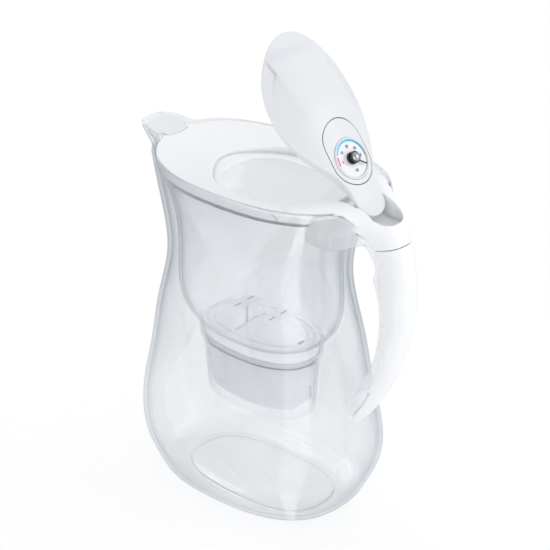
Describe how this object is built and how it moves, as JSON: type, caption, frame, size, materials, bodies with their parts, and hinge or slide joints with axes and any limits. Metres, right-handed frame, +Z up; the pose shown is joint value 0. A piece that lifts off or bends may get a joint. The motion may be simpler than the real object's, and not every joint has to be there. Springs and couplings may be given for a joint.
{
  "type": "water filter pitcher",
  "caption": "Clear waisted filter jug with spout, white grip, dished lid with a flip-up cap and change dial, hanging water chamber and oval filter cartridge.",
  "frame": {"origin": "centre of the jug's foot, on the table's surface", "axes": "+Z up, -X towards the spout, +X towards the handle, Y across, Y = 0 is the plane of symmetry of jug, lid and cap"},
  "size_m": [0.2626, 0.1432, 0.3878],
  "materials": {
    "clear_jug": "clear, polished",
    "clear_chamber": "clear, polished",
    "white_grip": "smooth, half gloss",
    "white_lid": "smooth, half gloss",
    "white_panel": "smooth, half gloss",
    "white_cartridge": "smooth moulded",
    "grey_case": "fine satin",
    "grey_skirt": "satin",
    "grey_flap": "smooth, half gloss",
    "soft_grey": "matt",
    "mesh": "woven",
    "granules": "grainy",
    "pin_white": "smooth",
    "dial_face": "printed scale under gloss",
    "grey_bezel": "smooth",
    "black_knob": "gloss",
    "bright_dome": "polished"
  },
  "bodies": {
    "jug": {"jug_body": "clear_jug", "handle_grip": "white_grip"},
    "chamber": {"water_chamber": "clear_chamber", "well_grommet": "soft_grey"},
    "cartridge": {"cartridge_case": "grey_case", "cartridge_lid": "white_cartridge", "cartridge_top_mesh": "mesh", "cartridge_bottom_mesh": "mesh", "filter_media": "granules"},
    "lid": {"lid_cover": "white_lid", "lid_skirt": "grey_skirt", "cap_hinge_pin": "pin_white", "pour_flap_pin": "pin_white"},
    "cap": {"cap_shell": "white_lid", "cap_liner": "white_lid", "indicator_panel": "white_panel", "indicator_back": "white_panel", "dial_plate": "dial_face", "dial_bezel": "grey_bezel"},
    "dial": {"dial_knob": "black_knob", "knob_dome": "bright_dome", "dial_pointer": "black_knob"},
    "flap": {"pour_flap": "grey_flap"}
  },
  "joints": [
    {"name": "chamber_lift", "type": "slide", "parent": "jug", "child": "chamber", "axis": [0, 0, 1], "range_m": [0, 0.21]},
    {"name": "cartridge_lift", "type": "slide", "parent": "chamber", "child": "cartridge", "axis": [0, 0, 1], "range_m": [0, 0.08]},
    {"name": "lid_lift", "type": "slide", "parent": "chamber", "child": "lid", "axis": [0, 0, 1], "range_m": [0, 0.12]},
    {"name": "cap_hinge", "type": "hinge", "parent": "lid", "child": "cap", "pos_m": [0.1049, 0, 0.2762], "axis": [0, 1, 0], "range_deg": [-55.5, 6]},
    {"name": "dial_turn", "type": "hinge", "parent": "cap", "child": "dial", "pos_m": [0.09172, 0, 0.30867], "axis": [0.8189, 0, 0.574], "range_deg": [-120, 120]},
    {"name": "pour_flap_hinge", "type": "hinge", "parent": "lid", "child": "flap", "pos_m": [-0.086, 0, 0.2781], "axis": [0, 1, 0], "range_deg": [0, 55]}
  ]
}
